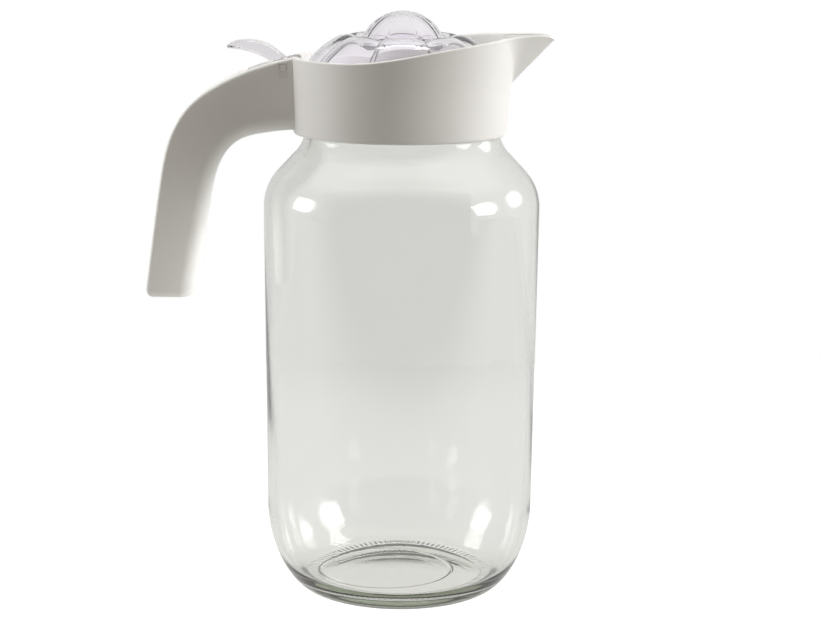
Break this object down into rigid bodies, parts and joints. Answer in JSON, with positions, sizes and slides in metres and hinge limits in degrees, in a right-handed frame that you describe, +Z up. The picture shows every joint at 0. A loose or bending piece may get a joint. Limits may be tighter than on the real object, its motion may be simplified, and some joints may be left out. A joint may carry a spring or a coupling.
{
  "type": "water jug",
  "caption": "Tall glass water jug with a white screw-on pouring collar, an open-ended hollow handle and a clear petal-shaped flap lid worked by a thumb lever.",
  "frame": {"origin": "centre of the jar's base, on the plane that it stands on", "axes": "+Z up along the jar's axis, +X out of the spout, the handle on the -X side"},
  "size_m": [0.1758, 0.1196, 0.2541],
  "materials": {
    "clear_glass": "clear soda-lime glass, faint grey-green in the thick base",
    "seal_silicone": "matte translucent white silicone",
    "white_plastic": "satin moulded white polypropylene",
    "pin_plastic": "smooth pale plastic",
    "clear_plastic": "polished clear plastic with a faint lilac cast"
  },
  "bodies": {
    "jar": {"glass_jar": "clear_glass"},
    "seal": {"neck_seal": "seal_silicone"},
    "collar": {"pour_collar": "white_plastic", "handle": "white_plastic", "handle_cover": "white_plastic", "hinge_pin": "pin_plastic"},
    "lid": {"flap_lid": "clear_plastic"}
  },
  "joints": [
    {"name": "collar_lift", "type": "slide", "parent": "jar", "child": "seal", "axis": [0, 0, 1], "range_m": [0, 0.0022]},
    {"name": "collar_turn", "type": "hinge", "parent": "seal", "child": "collar", "pos_m": [0, 0, 0.2115], "axis": [0, 0, 1], "range_deg": [0, 62]},
    {"name": "lid_hinge", "type": "hinge", "parent": "collar", "child": "lid", "pos_m": [-0.051, 0, 0.2302], "axis": [0, -1, 0], "range_deg": [0, 28]}
  ],
  "couplings": [
    {"joint": "collar_lift", "follows": "collar_turn", "m_per_rad": 0.0019099}
  ]
}
